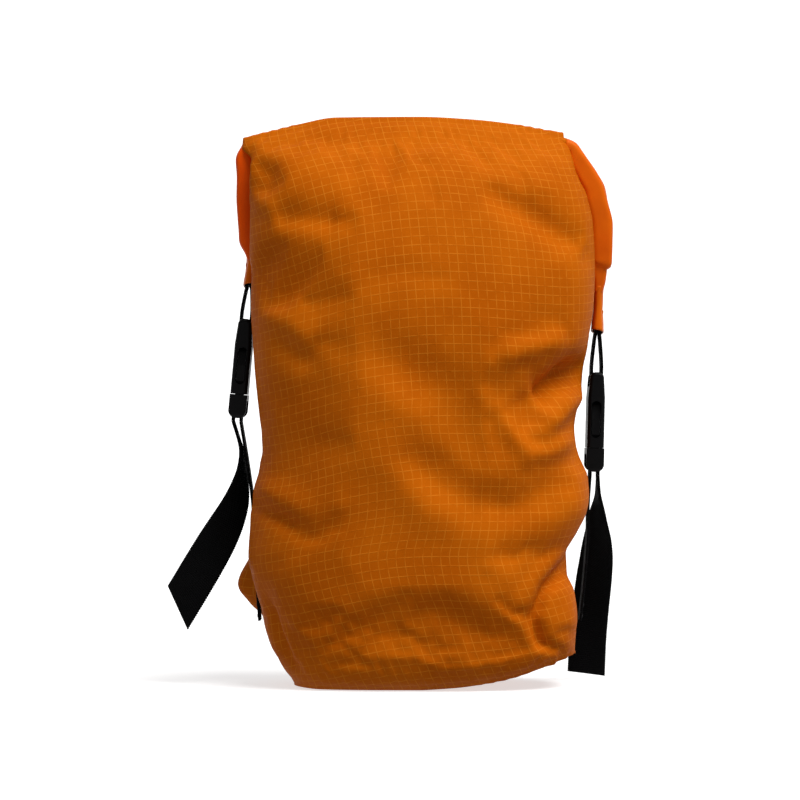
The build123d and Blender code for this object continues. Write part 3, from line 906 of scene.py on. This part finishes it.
def build_loop(side):
    """Tab loop: down from the sleeve, round the socket's end bar, and up again."""
    low = node_box(side.name + "_tab_sleeve")[0]
    entry = (low.z - side.mouth.z) / MM / side.up.z
    outer = [(0.85, entry + 8), (0.9, entry + 1), (1.9, (entry + 52) / 2 + 3), (3.0, 53),
             (3.1, 46)]
    turn = [(LOOP_MIDDLE * math.cos(a), LOOP_BOTTOM + LOOP_MIDDLE - LOOP_MIDDLE * math.sin(a))
            for a in np.linspace(0.25, math.pi - 0.25, 6)]
    inner = [(-u, w) for u, w in reversed(outer)]
    line, _ = spline([side.at(u, w) for u, w in outer + turn + inner], RIB_STEP)
    strip(side.name + "_loop_webbing", line, along_y(line), "closure", [side.name + "_tab_loop"])


def strap_route(side):
    """Middle line of the side strap, from the wrap down to its sewn end."""
    lower = node_box(side.name + "_lower_strap")
    half = WEBBING_THICKNESS / 2
    y = side.mouth.y
    start = side.at(-WRAP_MIDDLE, WRAP_END_W)
    split = Vector((side.sign * (outer_x(lower) - half), y, lower[1].z))
    low = Vector((side.sign * (inner_x(lower) + half), y, lower[0].z))
    middle = split.lerp(low, 0.55)
    middle.x += side.sign * 0.4 * MM
    return [start, start.lerp(split, 0.5) + Vector((-side.sign * 0.5 * MM, 0, 0)), split,
            middle, low]


def build_straps(side):
    """Load strand of the strap, cut where the bag's share ends and the closure's begins."""
    route = strap_route(side)
    line, run = spline(route, RIB_STEP)
    cut = int(np.argmin(np.abs(line[:, 2] - route[2].z)))
    upper, lower = line[: cut + 1], line[cut:]
    upper_piece = strip(side.name + "_upper_webbing", upper, along_y(upper), "closure",
                        [side.name + "_upper_strap"])
    lower_piece = strip(side.name + "_lower_webbing", lower, along_y(lower), "bag",
                        [side.name + "_lower_strap"], start_run=run[cut])
    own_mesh(upper_piece)
    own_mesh(lower_piece)


def build_wrap(side):
    """The turn of webbing round the ladder bar, with both strands to just below it."""
    turn = [(WRAP_MIDDLE * math.cos(a), LADDER_W + WRAP_MIDDLE * math.sin(a))
            for a in np.linspace(math.pi, 0, 9)]
    points = [(-WRAP_MIDDLE, WRAP_END_W), (-WRAP_MIDDLE, WRAP_END_W + 3.0)] + turn + [
        (WRAP_MIDDLE, WRAP_END_W + 3.0), (WRAP_MIDDLE, WRAP_END_W)]
    line, _ = spline([side.at(u, w) for u, w in points], RIB_STEP * 0.8)
    strip(side.name + "_wrap_webbing", line, along_y(line), side.name + "_plug",
          [side.name + "_strap_wrap"])


# Each loose end from the wrap down: outward, back and downward offsets from its hinge, and
# how far its width has turned from fore-and-aft to face-on, in degrees.
TAIL_ROUTES = {
    "left": ([(0, 0, 0, 0), (-3.3, 0, 9.7, 0), (-5.5, 0, 18.2, 2), (-5.8, -0.2, 28.2, 8),
              (-4.7, -0.6, 39.2, 22), (-1.7, -1.2, 51.2, 40), (4.1, -2.2, 64.2, 58),
              (12.8, -3.6, 80.2, 74), (23.3, -5, 98.2, 84), (34.3, -6, 116.5, 88)], -17.0),
    "right": ([(0, 0, 0, 0), (0.4, 0, 9.4, 2), (1.2, 2.5, 23.4, 16), (1.4, 11.5, 39.4, 34),
               (0, 24, 57.4, 49), (-2, 35, 77.4, 60), (-4, 42, 102.4, 66),
               (-5, 46, 126.8, 68)], 0.0),
}


def build_tail(side):
    route, end_cut = TAIL_ROUTES[side.name]
    start = side.at(WRAP_MIDDLE, WRAP_END_W)
    points, turns = [start], [0.0]
    for out, back, down, turn in route[1:]:
        points.append(side.tail_start + Vector((side.sign * out, back, -down)) * MM)
        turns.append(turn)
    line, run = spline(points, RIB_STEP)
    marks = np.concatenate([[0], np.cumsum([(b - a).length for a, b in zip(points, points[1:])])])
    turn = np.radians(smooth(list(zip(marks / marks[-1], turns)))(run / run[-1]))
    across = np.stack([side.sign * np.sin(turn), -np.cos(turn), np.zeros(len(turn))], axis=1)
    piece = strip(side.name + "_tail_webbing", line, across, None,
                  [side.name + "_strap_tail"], end_cut=end_cut * MM, wobble=0.25)
    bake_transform(piece)


for side in SIDES.values():
    build_loop(side)
    build_straps(side)
    build_wrap(side)
    build_tail(side)


# ---------- rolled neck and its ears

ROLL_TURNS = 2.6


def roll_route():
    """Corners of the roll's middle line in millimetres, left end first: X, Z, how far the cloth
    reaches outward and inward from the line, and half its width along Y."""
    left, right = node_box("left_tab_sleeve"), node_box("right_tab_sleeve")
    left_x = (left[0].x + left[1].x) / 2 / MM + 0.4
    right_x = (right[0].x + right[1].x) / 2 / MM
    left_z, right_z = left[1].z / MM, right[1].z / MM
    end = roll_low.x / MM + 5.5
    far = roll_high.x / MM - 6.5
    crest = [(x, float(CREST_HEIGHT(x)) - 7.4, 5.2, 5.2, 18) for x in (-78, -52, 0, 31, 62, 84)]
    return [
        (left_x, left_z - 1, 2.4, 3.4, 14.4), (left_x - 0.6, left_z + 3, 3.0, 5.0, 15.2),
        (end + 0.8, left_z + 10.5, 5.8, 8.0, 17.4), (end + 0.4, left_z + 20, 5.6, 9.0, 18),
        (end - 0.8, 328, 5.6, 9.0, 18), (end + 2.4, 335.0, 5.4, 6.0, 18),
    ] + crest + [
        (95, 334, 5.6, 6.0, 18), (far - 4.2, 309, 6.4, 8.0, 18), (far, 288, 6.8, 9.0, 18.3),
        (far + 0.2, 272, 7.0, 9.0, 18.6), (far - 0.4, 261.8, 7.0, 8.0, 18.6),
        (far - 1.6, 259.6, 4.6, 7.0, 16.4), (right_x + 0.9, right_z + 5, 3.6, 4.4, 15.0),
        (right_x, right_z - 1, 2.8, 3.4, 14.4),
    ]


def soft_corners(points, reach, spacing):
    """Even points along straight runs, with each corner rounded over a short reach. Columns
    after the first two are carried along."""
    pts = np.array(points, float)
    path = [pts[0]]
    for before, corner, after in zip(pts, pts[1:], pts[2:]):
        back = min(reach / np.linalg.norm((corner - before)[:2]), 0.5)
        on = min(reach / np.linalg.norm((after - corner)[:2]), 0.5)
        start, end = corner + (before - corner) * back, corner + (after - corner) * on
        for t in np.linspace(0, 1, 9):
            path.append((1 - t) ** 2 * start + 2 * t * (1 - t) * corner + t * t * end)
    path.append(pts[-1])
    path = np.array(path)
    run = run_along(path[:, :2])
    even = np.linspace(0, run[-1], int(run[-1] / spacing) + 1)
    return np.stack([np.interp(even, run, path[:, k]) for k in range(path.shape[1])], axis=1), even


def roll_section(half_width, outer, inner, square):
    """Flattened spiral, from the free edge inward, in width and thickness."""
    angle = np.linspace(0, 2 * math.pi * ROLL_TURNS, 150)
    inward = 1.2 * angle / (2 * math.pi)
    c, s = np.cos(angle + math.pi * 0.75), np.sin(angle + math.pi * 0.75)
    thick = np.where(s > 0, outer, inner)
    wide, thick = half_width - inward, np.maximum(thick - inward, 0.6)
    return wide * np.sign(c) * np.abs(c) ** square, thick * np.sign(s) * np.abs(s) ** square


def roll_line():
    """Even points along the roll's middle line, their distances along it, and the way out."""
    rows, run = soft_corners(roll_route(), 2.2, 1.25)
    tangents = np.gradient(rows[:, :2], axis=0)
    tangents /= np.linalg.norm(tangents, axis=1, keepdims=True)
    outward = np.stack([-tangents[:, 1], np.zeros(len(rows)), tangents[:, 0]], axis=1)
    return rows, run, outward


def core_strip(name, node, half_width, thickness, offset, mat):
    """Flat strip inside the roll, along the whole of its middle line."""
    rows, _, outward = roll_line()
    rows, outward = rows[4:-4:3], outward[4:-4:3]
    low, high = offset - thickness / 2, offset + thickness / 2
    corners = ((-half_width, low), (half_width, low), (half_width, high), (-half_width, high))
    rings = []
    for row, out in zip(rows, outward):
        centre = np.array((row[0], ROLL_MIDDLE_Y / MM, row[1]))
        rings.append([(centre + out * lift + np.array((0, across, 0))) * MM
                      for across, lift in corners])
    points = np.array(rings).reshape(-1, 3)
    last = len(points)
    faces = grid_faces(len(rings), 4, wrap=True) + [(3, 2, 1, 0), tuple(range(last - 4, last))]
    piece = make_piece(name, points, faces, MATERIALS[mat], flat=True)
    fix_normals(piece)
    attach(piece, "closure")
    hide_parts(node)


def build_roll():
    """Rolled neck as a swept spiral, cut into its middle and its two bent-down ears."""
    rows, run, outward = roll_line()
    route = rows[:, :2]
    from_end = np.minimum(run, run[-1] - run)
    corners = [run[int(np.argmin(np.hypot(*(route - np.array(spot)).T)))]
               for spot in ((roll_low.x / MM + 5.5, 331), (95, 334))]
    rings, cloth = [], []
    for i in range(len(route)):
        ear = step(route[i, 1], 336, 326)
        a, b = roll_section(rows[i, 4], rows[i, 2], rows[i, 3], 0.62 - 0.22 * ear)
        pinch = sum(math.exp(-(((run[i] - at) / 5.0) ** 2)) for at in corners)
        b = b * (1 - 0.12 * pinch)
        point = np.array((route[i, 0], ROLL_MIDDLE_Y / MM, route[i, 1]))
        ring = point + np.outer(a, (0, 1, 0)) + np.outer(b, outward[i])
        fine = np.array([noise.noise(Vector(q * 0.055)) for q in ring]) * 0.9
        broad = np.array([noise.noise(Vector(q * (0.03, 0.05, 0.022)) + Vector((7, 2, 4)))
                          for q in ring]) * 1.5
        fade = min(1.0, from_end[i] / 12)
        ring = ring + outward[i] * ((fine + broad * ear) * fade)[:, None]
        ring[:, 1] += (fine * 0.8 + broad * 0.6) * fade
        rings.append(ring * MM)
        flat = np.concatenate([[0], np.cumsum(np.hypot(np.diff(a), np.diff(b)))])
        cloth.append(np.stack([np.full(len(a), run[i]), flat], axis=1) * MM)
    rings, cloth = np.array(rings), np.array(cloth)
    left_cut = int(np.argmin(np.abs(run - corners[0]))) + 8
    right_cut = int(np.argmin(np.abs(run - corners[1]))) - 4
    columns = rings.shape[1]
    parts = (("left_ear", 0, left_cut, "ear_left"),
             ("roll_middle", left_cut, right_cut, "ripstop"),
             ("right_ear", right_cut, len(route) - 1, "ear_right"))
    for name, first, last, mat in parts:
        count = last - first + 1
        piece = make_piece(name, rings[first:last + 1].reshape(-1, 3), grid_faces(count, columns),
                           MATERIALS[mat], cloth[first:last + 1].reshape(-1, 2))
        thicken(piece, 0.45 * MM)
        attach(piece, "closure")
    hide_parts("rolled_top")


build_roll()
core_strip("hem_cloth", "mouth_hem", 12.8, 1.4, 0.0, "ear_right")
core_strip("inner_strip", "inner_stiffener", 11.8, 0.8, -1.5, "strip")
core_strip("outer_strip", "outer_stiffener", 11.8, 0.8, 1.5, "strip")


# ---------- tab sleeves and bar tacks

def build_sleeve(side):
    """Folded fabric tab: a flattened tube, flared a little and open at its lower end."""
    low, high = node_box(side.name + "_tab_sleeve")
    bottom_w = (low.z - side.mouth.z) / MM / side.up.z
    top_w = (high.z - side.mouth.z) / MM / side.up.z + 3.0
    rings = []
    heights = np.linspace(top_w, bottom_w - 1.0, 26)
    angles = np.linspace(0, 2 * math.pi, 72, endpoint=False)
    for k, w in enumerate(heights):
        share = k / (len(heights) - 1)
        wide = 14.4 - 0.7 * math.sin(math.pi * share) + 0.5 * share ** 3
        thick = 3.1 - 0.5 * math.sin(math.pi * min(share * 1.2, 1)) + 0.3 * share ** 3
        ring = []
        for a in angles:
            c, s = math.cos(a), math.sin(a)
            v = wide * math.copysign(abs(c) ** 0.45, c)
            u = thick * math.copysign(abs(s) ** 0.7, s)
            ripple = 0.35 * noise.noise(Vector((v * 0.2, w * 0.16, side.sign * 3 + s)))
            slant = (0.9 * s + 0.06 * v) * share ** 4
            ring.append(tuple(side.at(u + ripple, w - slant, v)))
        rings.append(ring)
    points = np.array(rings).reshape(-1, 3)
    piece = make_piece(side.name + "_sleeve_cloth", points,
                       grid_faces(len(heights), len(angles), wrap=True), MATERIALS["coated"])
    thicken(piece, 0.6 * MM, offset=0)
    fix_normals(piece)
    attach(piece, "closure")
    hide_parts(side.name + "_tab_sleeve")


def bar_tack(name, origin, across, rise, normal, body, node, mat):
    """Two dense zigzag bars of thread, lying on the cloth."""
    across, rise, normal = (Vector(v).normalized() for v in (across, rise, normal))
    points, faces = [], []
    for row in (0, 1):
        for k in range(34):
            v = (-10.0 + 20.0 * k / 33) * MM
            foot = origin + across * v + rise * (row * 7.0 * MM)
            lean = across * (0.35 * MM) * (1 if k % 2 else -1)
            start, end = foot - lean, foot + rise * (2.3 * MM) + lean
            count = len(points)
            for t, swell in ((0.0, 0.4), (0.25, 0.95), (0.5, 1.0), (0.75, 0.95), (1.0, 0.4)):
                centre = start.lerp(end, t)
                for a in np.linspace(0, 2 * math.pi, 6, endpoint=False):
                    points.append(tuple(centre + across * (0.33 * MM * swell * math.cos(a))
                                        + normal * (0.28 * MM * swell * math.sin(a))))
            for ring in range(4):
                for a in range(6):
                    i, j = count + ring * 6 + a, count + ring * 6 + (a + 1) % 6
                    faces.append((i, j, j + 6, i + 6))
            faces.append(tuple(count + a for a in range(6)))
            faces.append(tuple(count + 24 + a for a in range(6)))
    piece = make_piece(name, points, faces, MATERIALS[mat])
    fix_normals(piece)
    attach(piece, body)
    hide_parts(node)


for side in SIDES.values():
    build_sleeve(side)
    low, high = node_box(side.name + "_tab_sleeve")
    base_w = (low.z - side.mouth.z) / MM / side.up.z
    bar_tack(side.name + "_sleeve_thread", side.at(2.9, base_w + 3.0), (0, 1, 0), side.up,
             side.out, "closure", side.name + "_sleeve_stitches", "thread")
    route = strap_route(side)
    rise = (route[3] - route[4]).normalized()
    face = Vector((0, 1, 0)).cross(rise) * side.sign
    bar_tack(side.name + "_anchor_thread", route[4] + face * (0.85 * MM) + rise * (2 * MM),
             (0, 1, 0), rise, face, "bag", side.name + "_anchor_stitches", "thread_black")


# ---------- moulded parts keep their shape

for side in SIDES.values():
    for part in ("buckle_socket", "buckle_plug", "front_prong", "rear_prong"):
        slots = frame["nodes"][f"{side.name}_{part}"].data.materials
        slots.clear()
        slots.append(MATERIALS["buckle"])


# ---------- camera, light and floor

def look_at(obj, target):
    direction = Vector(target) - obj.location
    obj.rotation_euler = direction.to_track_quat("-Z", "Y").to_euler()


def build_camera():
    data = bpy.data.cameras.new("camera")
    camera = bpy.data.objects.new("camera", data)
    bpy.context.scene.collection.objects.link(camera)
    distance, view_width = 2.6, 0.4975
    data.sensor_width = 36.0
    data.lens = data.sensor_width * distance / view_width
    camera.location = (-0.0124, -distance, 0.1773)
    look_at(camera, (-0.0124, 0.0, 0.1773))
    bpy.context.scene.camera = camera


def sun_light(name, direction, strength, softness):
    """Parallel light from a direction, with an angular size in degrees that softens its shadow."""
    data = bpy.data.lights.new(name, "SUN")
    data.energy = strength
    data.angle = math.radians(softness)
    light = bpy.data.objects.new(name, data)
    bpy.context.scene.collection.objects.link(light)
    light.location = direction
    look_at(light, (0, 0, 0))


def build_studio():
    world = bpy.data.worlds.new("studio")
    bpy.context.scene.world = world
    world.use_nodes = True
    back = world.node_tree.nodes["Background"]
    back.inputs["Color"].default_value = (1.0, 1.0, 1.0, 1.0)
    back.inputs["Strength"].default_value = 0.34
    sun_light("key", (0.42, -0.42, 1.0), 3.15, 40.0)
    mat, _, shader = material("floor_white")
    shader.inputs["Base Color"].default_value = (0.62, 0.62, 0.62, 1)
    shader.inputs["Roughness"].default_value = 0.95
    shader.inputs["Specular IOR Level"].default_value = 0.0
    shader.inputs["Emission Color"].default_value = (1.0, 1.0, 1.0, 1.0)
    shader.inputs["Emission Strength"].default_value = 0.62
    bend, wall_start, reach = 1.2, 2.2, 6.0     # the floor curves up into a wall behind the bag
    profile = [(-reach, 0.0)]
    for angle in np.linspace(0, math.pi / 2, 13):
        profile.append((wall_start + bend * math.sin(angle), bend * (1 - math.cos(angle))))
    profile.append((wall_start + bend, reach))
    points = []
    for y, z in profile:
        points += [(-reach, y, z), (reach, y, z)]
    floor = make_piece("floor", points, grid_faces(len(profile), 2), mat)
    floor.visible_diffuse = False
    bpy.context.scene.view_settings.view_transform = "Standard"


build_camera()
build_studio()
